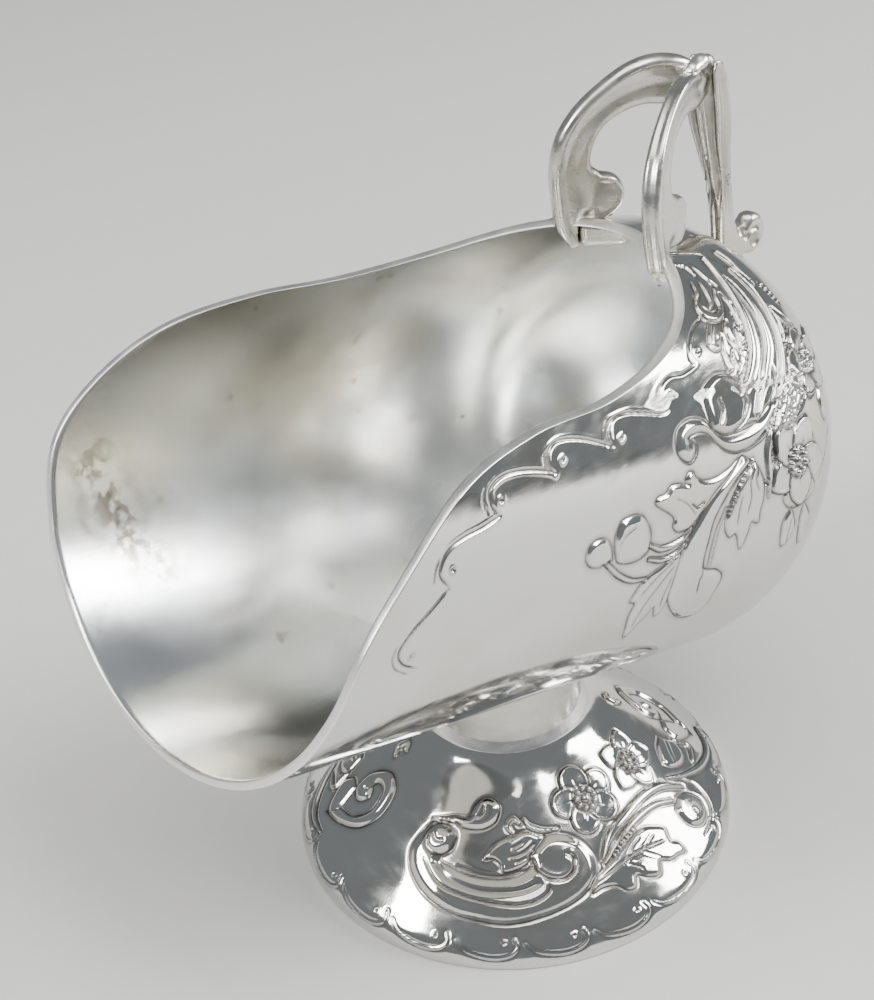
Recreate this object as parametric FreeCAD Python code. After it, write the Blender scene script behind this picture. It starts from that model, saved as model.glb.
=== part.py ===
"""Sugar scuttle in silver plate: a tilted open bowl on a domed foot, with a three-legged cast handle.

Millimetres, +Z up. The origin is the centre of the foot's base circle.
The bowl's mouth faces -Y, its domed end faces +Y, and X = 0 is the plane of symmetry.
One STEP file is written for each piece, into parts/.
"""

import FreeCAD, Part
import math
import os

from FreeCAD import Base

# Bowl: a round barrel closed by a half-ellipsoid, its axis tipped so that the mouth is raised.
BARREL_RADIUS = 42.7
SHEET = 1.5
AXIS_HEIGHT = 85.4
BOWL_TILT = 18.0
DOME_START = 35.7
DOME_LENGTH = 36.9
# Side edge of the bowl as (reach towards the mouth, height over the bowl's axis), from lip to back.
SIDE_EDGE = [
    (66.0, -18.0),
    (64.2, -3.0),
    (57.5, 7.6),
    (46.0, 17.6),
    (30.0, 22.9),
    (12.5, 25.2),
    (-2.0, 28.9),
    (-12.0, 33.0),
    (-20.0, 38.2),
    (-26.0, 43.0),
]

# Foot: a hollow pressed dome. A round edge, a straight cone, and a hollow curve up to the collar.
FOOT_RADIUS = 45.0
FOOT_SHEET = 1.2
FOOT_EDGE_RADIUS = 6.0
CONE_SLOPE = 39.0
CONE_TOP_RADIUS = 22.0

# Collar: a short tube between the foot's top and the belly of the bowl.
COLLAR_RADIUS = 15.2
COLLAR_WALL = 1.2
COLLAR_BASE = 29.5

# Solder: fillets round both ends of the collar, and a bead at the crown of the handle.
FILLET = 1.0
BEAD_RADIUS = 2.4
BEAD_CENTRE = (1.0, 56.0, 142.0)

# Handle: two mirrored arched legs in upright planes that fan out from the crown, and a leaf behind.
CROWN_Y = 58.0
CROWN_HEIGHT = 143.0
LEG_FAN = 22.7
LEG_LEAN = 2.8
LEG_THICKNESS = 3.6
JOINT_GAP = 0.05
# Outline of a leg in its own plane, as (distance forward of the crown, height over the crown).
# The left leg has a high crest. The right leg was set lower at the crown and bows further forward.
LEFT_LEG_OUTER = [
    (-0.6, -1.6),
    (4.0, 1.6),
    (9.5, 2.8),
    (14.5, 2.0),
    (20.5, -1.1),
    (25.0, -4.6),
    (28.3, -9.2),
    (29.8, -15.5),
    (29.5, -22.0),
    (28.6, -28.0),
    (26.4, -31.6),
]
RIGHT_LEG_OUTER = [
    (-0.6, -2.6),
    (4.0, -0.8),
    (9.5, 0.4),
    (14.5, -0.4),
    (20.5, -3.0),
    (25.2, -6.4),
    (28.7, -11.0),
    (30.4, -17.0),
    (30.2, -23.0),
    (29.0, -28.4),
    (26.4, -31.6),
]
LEG_STEM = [(24.5, -31.4), (24.2, -26.2)]
LEG_SCROLL = [
    (24.2, -26.2),
    (21.2, -26.9),
    (18.2, -26.7),
    (15.5, -24.4),
    (15.2, -21.3),
    (17.0, -18.6),
    (20.0, -17.4),
]
LEG_INNER = [
    (20.0, -17.4),
    (21.7, -15.6),
    (21.3, -12.0),
    (19.2, -8.6),
    (15.8, -6.8),
    (11.5, -6.1),
    (6.5, -6.9),
    (-0.6, -6.6),
]

# Rim tabs: flat strips under the sheet, behind each leg, that close the grip on the bowl's edge.
TAB_FRONT = 24.2
TAB_LENGTH = 8.8
TAB_HEIGHT = 3.0

# Leaf leg: side outline as (Y, Z). The front goes down from the crown, and the back comes up
# from the bowl round the scroll.
LEAF_FRONT = [(57.4, 141.6), (57.6, 136.0), (58.8, 128.0), (60.9, 119.0), (62.4, 110.0), (62.8, 96.0)]
LEAF_SCROLL = [
    (67.4, 97.0),
    (69.6, 99.9),
    (72.6, 99.4),
    (75.4, 101.2),
    (76.1, 104.2),
    (74.6, 107.1),
    (71.8, 107.9),
    (69.9, 106.4),
    (68.4, 105.4),
]
LEAF_BACK = [(68.4, 105.4), (67.0, 109.5), (65.8, 116.0), (64.0, 125.0), (62.6, 134.0), (61.8, 140.2)]
LEAF_TOP = [(61.8, 140.2), (60.6, 143.2), (58.6, 143.6), (57.4, 141.6)]
# Half widths of the leaf as (half width, Z), from the bowl to the crown.
LEAF_SIDES = [(2.8, 95.0), (1.9, 103.0), (2.1, 112.0), (3.2, 124.0), (4.3, 134.0), (3.2, 145.0)]

# A length that is larger than the whole object, for cutting tools.
FAR = 90.0


def vec(x, y, z):
    return Base.Vector(x, y, z)


def line(start, end):
    return Part.makeLine(start, end)


def spline(points):
    curve = Part.BSplineCurve()
    curve.interpolate(points)
    return curve.toShape()


def face_of(edges):
    return Part.Face(Part.Wire(edges))


def tip_to_bowl(shape):
    """Takes a shape drawn round the Y axis to the bowl's raised and tipped axis."""
    placed = shape.copy()
    placed.rotate(vec(0, 0, 0), vec(1, 0, 0), -BOWL_TILT)
    placed.translate(vec(0, 0, AXIS_HEIGHT))
    return placed


def round_body(offset):
    """The bowl's full round form as a solid, grown by an offset, before its mouth is cut."""
    radius = BARREL_RADIUS + offset
    length = DOME_LENGTH + offset
    shoulder = vec(0, DOME_START, radius)
    tip = vec(0, DOME_START + length, 0)
    ellipse = Part.Ellipse(shoulder, tip, vec(0, DOME_START, 0))
    dome = Part.ArcOfEllipse(ellipse, 0, math.pi / 2).toBSpline().toShape()
    mouth_axis = vec(0, -FAR, 0)
    mouth_edge = vec(0, -FAR, radius)
    profile = face_of([line(mouth_edge, shoulder), dome, line(tip, mouth_axis), line(mouth_axis, mouth_edge)])
    return profile.revolve(vec(0, 0, 0), vec(0, 1, 0), 360)


def mouth_cutter():
    """Everything in front of the bowl's side edge, as one block across the full width."""
    points = [vec(-FAR, -reach, height) for reach, height in SIDE_EDGE]
    lip_reach = SIDE_EDGE[0][0]
    back_reach = SIDE_EDGE[-1][0]
    low_lip = vec(-FAR, -lip_reach, -FAR)
    low_front = vec(-FAR, -2 * FAR, -FAR)
    high_front = vec(-FAR, -2 * FAR, FAR)
    high_back = vec(-FAR, -back_reach, FAR)
    edges = [
        line(low_lip, points[0]),
        spline(points),
        line(points[-1], high_back),
        line(high_back, high_front),
        line(high_front, low_front),
        line(low_front, low_lip),
    ]
    return face_of(edges).extrude(vec(2 * FAR, 0, 0))


def bowl_shell():
    hollow = round_body(0).cut(round_body(-SHEET))
    return tip_to_bowl(hollow.cut(mouth_cutter()))


def foot_profile(inset):
    """Outer line of the foot in the XZ plane, moved inwards by an inset, as edges and end points."""
    edge_radius = FOOT_EDGE_RADIUS - inset
    edge_centre = FOOT_RADIUS - FOOT_EDGE_RADIUS
    slope = math.radians(CONE_SLOPE)
    turn = math.pi / 2 - slope
    base = vec(edge_centre + edge_radius, 0, 0)
    middle = vec(edge_centre + edge_radius * math.cos(turn / 2), 0, edge_radius * math.sin(turn / 2))
    shoulder = vec(edge_centre + edge_radius * math.cos(turn), 0, edge_radius * math.sin(turn))
    inset_rise = inset / math.cos(slope)
    cone_height = FOOT_EDGE_RADIUS * math.sin(turn) - inset_rise
    cone_height += (edge_centre + FOOT_EDGE_RADIUS * math.cos(turn) - CONE_TOP_RADIUS) * math.tan(slope)
    cone_top = vec(CONE_TOP_RADIUS, 0, cone_height)
    top = vec(COLLAR_RADIUS - inset, 0, COLLAR_BASE)
    neck = Part.BSplineCurve()
    along_cone = vec(-math.cos(slope), 0, math.sin(slope))
    neck.interpolate([cone_top, top], InitialTangent=along_cone, FinalTangent=vec(0, 0, 1))
    edges = [Part.Arc(base, middle, shoulder).toShape(), line(shoulder, cone_top), neck.toShape()]
    return edges, base, top


def foot_dome():
    outer, outer_base, outer_top = foot_profile(0)
    inner, inner_base, inner_top = foot_profile(FOOT_SHEET)
    edges = outer + [line(outer_top, inner_top)] + inner + [line(inner_base, outer_base)]
    profile = face_of(Part.__sortEdges__(edges))
    return profile.revolve(vec(0, 0, 0), vec(0, 0, 1), 360)


def collar_tube(inner, outer):
    """A tall tube on the foot's axis, to be trimmed by the belly of the bowl."""
    tube = Part.makeCylinder(outer, FAR, vec(0, 0, COLLAR_BASE))
    return tube.cut(Part.makeCylinder(inner, FAR, vec(0, 0, COLLAR_BASE)))


def below_belly(shape):
    """The part of a shape on the foot's axis that lies under the bowl."""
    lower_half = Part.makeBox(2 * FAR, 2 * FAR, AXIS_HEIGHT, vec(-FAR, -FAR, 0))
    return shape.common(lower_half).cut(tip_to_bowl(round_body(0)))


def neck_collar():
    return below_belly(collar_tube(COLLAR_RADIUS - COLLAR_WALL, COLLAR_RADIUS))


def foot_solder():
    """A fillet of solder where the collar stands on the foot."""
    inner = vec(COLLAR_RADIUS, 0, COLLAR_BASE)
    high = vec(COLLAR_RADIUS, 0, COLLAR_BASE + FILLET)
    wide = vec(COLLAR_RADIUS + FILLET, 0, COLLAR_BASE - FILLET)
    ring = face_of([line(inner, high), line(high, wide), line(wide, inner)])
    fillet = ring.revolve(vec(0, 0, 0), vec(0, 0, 1), 360)
    return fillet.cut(foot_dome())


def belly_solder():
    """A fillet of solder where the collar meets the belly of the bowl."""
    ring = below_belly(collar_tube(COLLAR_RADIUS, COLLAR_RADIUS + FILLET))
    return ring.common(tip_to_bowl(round_body(FILLET)))


def leg_to_place(shape, side):
    """Takes a leg drawn in the YZ plane behind the crown's axis to its fanned place; side is -1 or 1."""
    placed = shape.copy()
    placed.rotate(vec(0, 0, 0), vec(0, 1, 0), -side * LEG_LEAN)
    placed.rotate(vec(0, 0, 0), vec(0, 0, 1), side * LEG_FAN)
    placed.translate(vec(0, CROWN_Y, CROWN_HEIGHT))
    return placed


def leg_points(points):
    return [vec(-LEG_THICKNESS / 2, -forward, height) for forward, height in points]


def half_space(side):
    """A block on one side of the plane of symmetry, a hair clear of it."""
    corner = JOINT_GAP if side > 0 else -JOINT_GAP - 2 * FAR
    return Part.makeBox(2 * FAR, 4 * FAR, 4 * FAR, vec(corner, -2 * FAR, -FAR))


def front_leg(side):
    """One arched leg: crest, stem in front of the bowl's edge, and a scroll that lands on the sheet."""
    outer = leg_points(RIGHT_LEG_OUTER if side > 0 else LEFT_LEG_OUTER)
    stem = leg_points(LEG_STEM)
    scroll = leg_points(LEG_SCROLL)
    inner = leg_points(LEG_INNER)
    edges = [
        spline(outer),
        line(outer[-1], stem[0]),
        line(stem[0], stem[1]),
        spline(scroll),
        spline(inner),
        line(inner[-1], outer[0]),
    ]
    plate = face_of(edges).extrude(vec(LEG_THICKNESS, 0, 0))
    leg = leg_to_place(plate, side).common(half_space(side))
    behind_crown = Part.makeBox(2 * FAR, FAR, 4 * FAR, vec(-FAR, LEAF_FRONT[0][0] - JOINT_GAP, -FAR))
    return leg.cut(behind_crown).cut(bowl_shell()).cut(crown_solder())


def rim_tab(side):
    """A flat strip pressed against the underside of the sheet, behind the stem of one leg."""
    block = Part.makeBox(LEG_THICKNESS, TAB_LENGTH, 3 * TAB_HEIGHT)
    block.translate(vec(-LEG_THICKNESS / 2, -TAB_FRONT, 0))
    block.rotate(vec(0, -TAB_FRONT, 0), vec(1, 0, 0), -BOWL_TILT)
    block.translate(vec(0, 0, LEG_STEM[1][1] - 2 * TAB_HEIGHT))
    under_sheet = tip_to_bowl(round_body(-SHEET).cut(round_body(-SHEET - TAB_HEIGHT)))
    return leg_to_place(block, side).common(under_sheet).cut(front_leg(side))


def leaf_leg():
    """The leaf: its side outline, cut to the width that it has from the front."""
    sections = (LEAF_FRONT, LEAF_SCROLL, LEAF_BACK, LEAF_TOP)
    front, scroll, back, top = [[vec(-FAR, y, z) for y, z in section] for section in sections]
    edges = [spline(front), line(front[-1], scroll[0]), spline(scroll), spline(back), spline(top)]
    side_view = face_of(edges).extrude(vec(2 * FAR, 0, 0))
    right = [vec(half_width, 0, z) for half_width, z in LEAF_SIDES]
    left = [vec(-half_width, 0, z) for half_width, z in LEAF_SIDES]
    outline = [spline(right), line(right[-1], left[-1]), spline(left), line(left[0], right[0])]
    front_view = face_of(outline).extrude(vec(0, FAR, 0))
    leaf = side_view.common(front_view)
    return leaf.cut(tip_to_bowl(round_body(0))).cut(crown_solder())


def crown_solder():
    """The bead that joins the two legs and the leaf at the crown."""
    return Part.makeSphere(BEAD_RADIUS, vec(*BEAD_CENTRE))


def main():
    pieces = {
        "bowl_shell": bowl_shell(),
        "foot_dome": foot_dome(),
        "neck_collar": neck_collar(),
        "foot_solder": foot_solder(),
        "belly_solder": belly_solder(),
        "handle_left_leg": front_leg(-1),
        "handle_right_leg": front_leg(1),
        "left_rim_tab": rim_tab(-1),
        "right_rim_tab": rim_tab(1),
        "handle_leaf": leaf_leg(),
        "crown_solder": crown_solder(),
    }
    os.makedirs("parts", exist_ok=True)
    for name, shape in pieces.items():
        shape.exportStep(os.path.join("parts", name + ".step"))
        box = shape.optimalBoundingBox(False)
        extent = [round(value, 1) for value in (box.XMin, box.XMax, box.YMin, box.YMax, box.ZMin, box.ZMax)]
        print(name, "solids", len(shape.Solids), "volume", round(shape.Volume, 1), "valid", shape.isValid(), extent)


main()
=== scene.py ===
"""Looks of a sugar scuttle in silver plate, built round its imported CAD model.

Shapes are worked out in millimetres and written to the scene in metres.
"""

import math

import bpy
import numpy as np
from mathutils import Matrix, Vector


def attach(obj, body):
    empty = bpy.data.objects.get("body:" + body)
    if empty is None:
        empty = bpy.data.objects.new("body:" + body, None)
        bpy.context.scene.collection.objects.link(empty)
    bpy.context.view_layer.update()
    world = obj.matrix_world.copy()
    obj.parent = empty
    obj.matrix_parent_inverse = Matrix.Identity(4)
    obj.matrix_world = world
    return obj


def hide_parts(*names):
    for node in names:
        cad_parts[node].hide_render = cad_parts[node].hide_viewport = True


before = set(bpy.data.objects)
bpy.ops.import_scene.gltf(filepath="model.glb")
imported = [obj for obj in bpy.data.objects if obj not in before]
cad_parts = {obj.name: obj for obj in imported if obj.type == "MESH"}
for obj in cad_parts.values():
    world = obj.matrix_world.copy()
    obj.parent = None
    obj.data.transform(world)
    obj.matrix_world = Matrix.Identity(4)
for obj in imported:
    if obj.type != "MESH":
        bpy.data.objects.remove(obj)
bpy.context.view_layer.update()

MM = 0.001
ROOT = "root"

# Bowl, as in the CAD model: barrel, half-ellipsoid dome, and the side edge as (reach, height over axis).
# The sheet's faces end EDGE_SETBACK behind the edge, which is rounded, and the last ring of points
# lies a little SHORT_OF_TIP.
BARREL_RADIUS = 42.7
BOWL_SHEET = 1.5
EDGE_SETBACK = 0.2
SHORT_OF_TIP = 0.999
AXIS_HEIGHT = 85.4
BOWL_TILT = math.radians(18.0)
DOME_START = 35.7
DOME_LENGTH = 36.9
SIDE_EDGE = [
    (66.0, -18.0), (64.2, -3.0), (57.5, 7.6), (46.0, 17.6), (30.0, 22.9),
    (12.5, 25.2), (-2.0, 28.9), (-12.0, 33.0), (-20.0, 38.2), (-26.0, 43.0),
]

# Foot and collar, as in the CAD model. The outer face begins FOOT_START along its line.
FOOT_RADIUS = 45.0
FOOT_SHEET = 1.2
FOOT_EDGE_RADIUS = 6.0
CONE_SLOPE = math.radians(39.0)
CONE_TOP_RADIUS = 22.0
COLLAR_RADIUS = 15.2
COLLAR_BASE = 29.5
FOOT_START = 0.25

# Handle, as in the CAD model. Tabs: middle forward of the crown, middle under the sheet, and half sizes.
CROWN = np.array([0.0, 58.0, 143.0])
LEG_FAN = math.radians(22.7)
LEG_LEAN = math.radians(2.8)
LEG_THICKNESS = 3.6
TAB_FORWARD = 19.7
TAB_DEPTH = 1.8
TAB_HALF = (4.6, 1.9, 2.0)

# Grid sizes, and how many points are measured at a time.
CHUNK = 20000
BOWL_COLUMNS = 900
BOWL_ROWS = 440
FOOT_COLUMNS = 1080
FOOT_ROWS = 170
FOOT_SCALLOPS = 20


# ---------------------------------------------------------------- curves

def curve_through(points, steps=10):
    """A smooth curve through control points (centripetal Catmull-Rom), as a dense polyline."""
    pts = np.array(points, float)
    pts = np.vstack([2 * pts[0] - pts[1], pts, 2 * pts[-1] - pts[-2]])
    out = []
    for a, b, c, d in zip(pts, pts[1:], pts[2:], pts[3:]):
        t1 = max(np.linalg.norm(b - a), 1e-6) ** 0.5
        t2 = t1 + max(np.linalg.norm(c - b), 1e-6) ** 0.5
        t3 = t2 + max(np.linalg.norm(d - c), 1e-6) ** 0.5
        t = np.linspace(t1, t2, steps, endpoint=False)[:, None]
        ab = (t1 - t) / t1 * a + t / t1 * b
        bc = (t2 - t) / (t2 - t1) * b + (t - t1) / (t2 - t1) * c
        cd = (t3 - t) / (t3 - t2) * c + (t - t2) / (t3 - t2) * d
        abc = (t2 - t) / t2 * ab + t / t2 * bc
        bcd = (t3 - t) / (t3 - t1) * bc + (t - t1) / (t3 - t1) * cd
        out.append((t2 - t) / (t2 - t1) * abc + (t - t1) / (t2 - t1) * bcd)
    out.append(pts[-2][None])
    return np.vstack(out)


def along_curve(points, curve):
    """For each point: distance to a polyline, and place along it from 0 to 1."""
    start = curve[:-1]
    step = np.diff(curve, axis=0)
    square = np.maximum((step ** 2).sum(1), 1e-9)
    length = np.sqrt(square)
    reached = np.concatenate([[0.0], np.cumsum(length)])
    distance = np.empty(len(points))
    place = np.empty(len(points))
    for low in range(0, len(points), CHUNK):
        p = points[low:low + CHUNK]
        dot = p @ step.T - (start * step).sum(1)
        t = np.clip(dot / square, 0, 1)
        gap = (p ** 2).sum(1)[:, None] - 2 * p @ start.T + (start ** 2).sum(1)
        gap = gap + t * t * square - 2 * t * dot
        best = gap.argmin(1)
        t_best = t[np.arange(len(p)), best]
        foot = start[best] + t_best[:, None] * step[best]
        distance[low:low + CHUNK] = np.linalg.norm(p - foot, axis=1)
        place[low:low + CHUNK] = (reached[best] + t_best * length[best]) / reached[-1]
    return distance, place


def ramp(low, high, value):
    """Smooth step from 0 at low to 1 at high."""
    t = np.clip((value - low) / (high - low), 0, 1)
    return t * t * (3 - 2 * t)


def spread(values, place):
    """Values given at even places from 0 to 1, read at other places."""
    if np.isscalar(values):
        return np.full_like(place, values)
    return np.interp(place, np.linspace(0, 1, len(values)), values)


# ---------------------------------------------------------------- surfaces of revolution

class Round:
    """A round surface: a meridian turned about an axis. Angles are in degrees, lengths in millimetres."""

    def __init__(self, origin, axis, side, front, meridian):
        self.origin = np.array(origin, float)
        self.axis = np.array(axis, float)
        self.side = np.array(side, float)
        self.front = np.array(front, float)
        self.meridian = meridian

    def at(self, angle, along, inset=0.0):
        """Points and outward normals."""
        reach, radius, tilt_axis, tilt_out = self.meridian(along, inset)
        turn = np.radians(angle)
        out = np.sin(turn)[..., None] * self.side + np.cos(turn)[..., None] * self.front
        point = self.origin + reach[..., None] * self.axis + radius[..., None] * out
        normal = tilt_axis[..., None] * self.axis + tilt_out[..., None] * out
        return point, normal


def dome_arc():
    """Angles from the dome's start to its tip, and the length of the meridian up to each."""
    turn = np.linspace(0, math.pi / 2, 2000)
    speed = np.hypot(BARREL_RADIUS * np.sin(turn), DOME_LENGTH * np.cos(turn))
    return turn, np.concatenate([[0], np.cumsum((speed[1:] + speed[:-1]) / 2 * np.diff(turn))])


DOME_TURN, DOME_ARC = dome_arc()
BOWL_TIP = -DOME_START - DOME_ARC[-1]


def bowl_meridian(along, inset):
    """Barrel and dome; along is positive towards the mouth and follows the dome's arc behind."""
    radius, length = BARREL_RADIUS, DOME_LENGTH
    bend = np.interp(-along - DOME_START, DOME_ARC, DOME_TURN)
    on_dome = along < -DOME_START
    tilt_axis = np.where(on_dome, -np.sin(bend) / length, 0)
    tilt_out = np.where(on_dome, np.cos(bend) / radius, 1)
    size = np.hypot(tilt_axis, tilt_out)
    reach = np.where(on_dome, -DOME_START - (length - inset) * np.sin(bend), along)
    out = np.where(on_dome, (radius - inset) * np.cos(bend), radius - inset)
    return reach, out, tilt_axis / size, tilt_out / size


def foot_line():
    """The foot's outer line as dense (radius, height) points from the base up, with its arc length."""
    turn = np.linspace(0, math.pi / 2 - CONE_SLOPE, 60)
    centre = FOOT_RADIUS - FOOT_EDGE_RADIUS
    arc = np.stack([centre + FOOT_EDGE_RADIUS * np.cos(turn), FOOT_EDGE_RADIUS * np.sin(turn)], 1)
    top = np.array([CONE_TOP_RADIUS, arc[-1, 1] + (arc[-1, 0] - CONE_TOP_RADIUS) * math.tan(CONE_SLOPE)])
    cone = np.linspace(arc[-1], top, 60)[1:]
    end = np.array([COLLAR_RADIUS, COLLAR_BASE])
    pull = np.linalg.norm(end - top)
    t = np.linspace(0, 1, 60)[1:, None]
    leave = pull * np.array([-math.cos(CONE_SLOPE), math.sin(CONE_SLOPE)])
    arrive = pull * np.array([0.0, 1.0])
    neck = (2 * t**3 - 3 * t**2 + 1) * top + (t**3 - 2 * t**2 + t) * leave
    neck = neck + (3 * t**2 - 2 * t**3) * end + (t**3 - t**2) * arrive
    line = np.vstack([arc, cone, neck])
    return line, np.concatenate([[0], np.cumsum(np.linalg.norm(np.diff(line, axis=0), axis=1))])


FOOT_LINE, FOOT_ARC = foot_line()
FOOT_TANGENT = np.gradient(FOOT_LINE, FOOT_ARC, axis=0)


def foot_meridian(along, inset):
    radius = np.interp(along, FOOT_ARC, FOOT_LINE[:, 0])
    height = np.interp(along, FOOT_ARC, FOOT_LINE[:, 1])
    out = np.interp(along, FOOT_ARC, FOOT_TANGENT[:, 1])
    up = -np.interp(along, FOOT_ARC, FOOT_TANGENT[:, 0])
    size = np.hypot(out, up)
    out, up = out / size, up / size
    return height - inset * up, radius - inset * out, up, out


BOWL = Round(
    (0, 0, AXIS_HEIGHT),
    (0, -math.cos(BOWL_TILT), math.sin(BOWL_TILT)),
    (1, 0, 0),
    (0, math.sin(BOWL_TILT), math.cos(BOWL_TILT)),
    bowl_meridian,
)
FOOT = Round((0, 0, 0), (0, 0, 1), (1, 0, 0), (0, -1, 0), foot_meridian)


# ---------------------------------------------------------------- chased relief

def round_rib(t):
    return np.sqrt(np.clip(1 - t * t, 0, 1))


def within(x, y, line):
    """Whether each point of the plane lies inside a closed polyline."""
    inside = np.zeros(x.shape, bool)
    for (ax, ay), (bx, by) in zip(line, np.roll(line, -1, axis=0)):
        if ay != by:
            crosses = ((ay > y) != (by > y)) & (x < (bx - ax) * (y - ay) / (by - ay) + ax)
            inside ^= crosses
    return inside


class Relief:
    """Heights over a round surface, and how much dark oxide lies in its hollows."""

    def __init__(self, surface, angle, along):
        self.surface = surface
        point, normal = surface.at(angle, along)
        self.angle = angle.ravel()
        self.along = along.ravel()
        self.point = point.reshape(-1, 3)
        self.normal = normal.reshape(-1, 3)
        self.height = np.zeros(len(self.point))
        self.oxide = np.zeros(len(self.point))
        self.turn = 0.0

    def path(self, points):
        dense = curve_through(points)
        return self.surface.at(dense[:, 0] + self.turn, dense[:, 1])[0]

    def near(self, curve, reach):
        low = curve.min(0) - reach
        high = curve.max(0) + reach
        return np.flatnonzero(((self.point > low) & (self.point < high)).all(1))

    def spot(self, angle, along):
        """One point of the smooth surface."""
        return self.surface.at(np.array([angle + self.turn]), np.array([along]))[0]

    def around(self, centre, radius):
        """Points near a place: their indices and distance from it."""
        found = self.near(centre, radius + 0.8)
        return found, np.linalg.norm(self.point[found] - centre, axis=1)

    def measure(self, points, reach):
        """Points near a curve: their indices, distance from it and place along it."""
        curve = self.path(points)
        found = self.near(curve, reach)
        centre = curve.mean(0)
        distance, place = along_curve(self.point[found] - centre, curve - centre)
        close = distance < reach
        return found[close], distance[close], place[close]

    def lay(self, found, gap, height, edge=0.3, ink=0.8):
        """Puts a form over what is there. gap is the distance outside its outline, negative inside."""
        cover = ramp(0, edge, -gap)
        line = np.exp(-((gap - 0.12) / 0.25) ** 2)
        self.height[found] = self.height[found] * (1 - cover) + height * cover - 0.12 * line * (1 - cover)
        halo = 0.35 * np.exp(-(gap / 0.8) ** 2) * (gap > 0)
        self.oxide[found] = np.maximum(self.oxide[found] * (1 - cover), ink * np.maximum(line, halo))

    def stroke(self, points, width, height, ink=0.8):
        """A rounded rib along a curve. width is its half width, one number or several along the curve."""
        found, distance, place = self.measure(points, float(np.max(width)) + 0.8)
        half = spread(width, place)
        body = spread(height, place) * round_rib(np.clip(distance / half, 0, 1))
        self.lay(found, distance - half, body, ink=ink)

    def lines(self, lines, *look):
        for points in lines:
            self.line(points, *look)

    def line(self, points, width=0.24, depth=0.22, ink=1.0, lip=0.05):
        """A chased line, sunk into what is there, with a little metal pushed up beside it."""
        found, distance, place = self.measure(points, 6 * width)
        ends = 0.35 + 0.65 * ramp(0, 0.08, place) * ramp(0, 0.08, 1 - place)
        cut = np.exp(-(distance / width) ** 2) * ends
        raised = np.exp(-((distance - 2.4 * width) / (1.2 * width)) ** 2) * ends
        self.height[found] += lip * raised - depth * cut
        self.oxide[found] = np.maximum(self.oxide[found], ink * cut)

    def form(self, outline, height, soft=1.0, ink=0.9):
        """A low pillow inside a closed outline, with a dark line round it."""
        dense = curve_through(outline + outline[:1])
        curve = self.surface.at(dense[:, 0] + self.turn, dense[:, 1])[0]
        found = self.near(curve, 1.0)
        centre = curve.mean(0)
        distance = along_curve(self.point[found] - centre, curve - centre)[0]
        angle = (self.angle[found] - self.turn + 180) % 360 - 180
        inside = within(angle, self.along[found], dense[:-1])
        gap = np.where(inside, -distance, distance)
        body = self.height[found] * 0.3 + height * ramp(-0.1, soft, -gap)
        self.lay(found, gap, body, edge=0.35, ink=ink)

    def punch(self, spot, radius=0.6):
        """A punched ring with a dark centre."""
        found, distance = self.around(self.spot(*spot), radius)
        ring = np.exp(-((distance - radius) / 0.22) ** 2)
        pit = np.exp(-(distance / (radius * 0.55)) ** 2)
        self.height[found] += 0.16 * ring - 0.3 * pit
        self.oxide[found] = np.maximum(self.oxide[found], np.maximum(pit, 0.5 * ring * (distance > radius)))

    def bead(self, spot, radius, height=None):
        height = 0.8 * radius if height is None else height
        found, distance = self.around(self.spot(*spot), radius)
        body = height * np.sqrt(np.clip(1 - (distance / radius) ** 2, 0, 1))
        self.lay(found, distance - radius, body, edge=0.2)

    def beads(self, points, count, radius):
        dense = curve_through(points)
        places = np.linspace(0, len(dense) - 1, count).round().astype(int)
        for k, place in enumerate(places):
            self.bead(dense[place], radius * (1 - 0.3 * k / count))

    def flower(self, spot, radius, petals, phase, pearls=9, height=0.75, point=0.0):
        """Round cupped petals about a ring of pearls. phase turns the petals, in degrees."""
        centre = self.spot(*spot)
        step = self.spot(spot[0] + 1.0, spot[1]) - centre
        ahead = self.spot(spot[0], spot[1] + 0.5) - centre
        across = step[0] / np.linalg.norm(step[0])
        upward = ahead[0] / np.linalg.norm(ahead[0])
        found = self.near(centre, radius + 2)
        local = self.point[found] - centre
        x, y = local @ across, local @ upward
        reach = 0.58 * radius
        for k in range(petals):
            angle = math.radians(phase) + 2 * math.pi * k / petals
            along = x * math.cos(angle) + y * math.sin(angle) - reach
            off = -x * math.sin(angle) + y * math.cos(angle)
            size = radius * (2.1 / petals)
            stretch = np.where(along > 0, 1.0 + point * np.exp(-(off / (0.5 * size)) ** 2), 1.25)
            far = np.hypot(along / stretch, off)
            gap = far - size
            edge = ramp(0.72, 0.95, far / size)
            crease = np.exp(-(off / 0.22) ** 2) * ramp(0.3 * size, -0.5 * size, along)
            heart = ramp(0.1 * radius, -0.4 * radius, along)
            body = height * (0.5 + 0.3 * edge - 0.35 * heart) - 0.18 * crease
            self.lay(found, gap, body, edge=0.35, ink=1.0)
            self.oxide[found] = np.maximum(self.oxide[found], 0.7 * crease * (gap < -0.2))
        ring = radius * 0.27
        hub = np.hypot(x, y)
        self.lay(found, hub - ring * 1.35, 0.3 * height + 0 * hub, edge=0.3, ink=0.9)
        for k in range(pearls):
            angle = 2 * math.pi * k / pearls
            place = centre[0] + ring * (math.cos(angle) * across + math.sin(angle) * upward)
            self.dot(place, radius * 0.085, height * 1.1)
        self.dot(centre[0], radius * 0.12, height * 0.9)
        self.oxide[found] = np.maximum(self.oxide[found], np.exp(-(hub / (0.05 * radius)) ** 2))

    def dot(self, place, radius, height):
        found, distance = self.around(place[None], radius)
        body = height * (0.6 + 0.4 * np.sqrt(np.clip(1 - (distance / radius) ** 2, 0, 1)))
        self.lay(found, distance - radius, body, edge=0.2)

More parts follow.
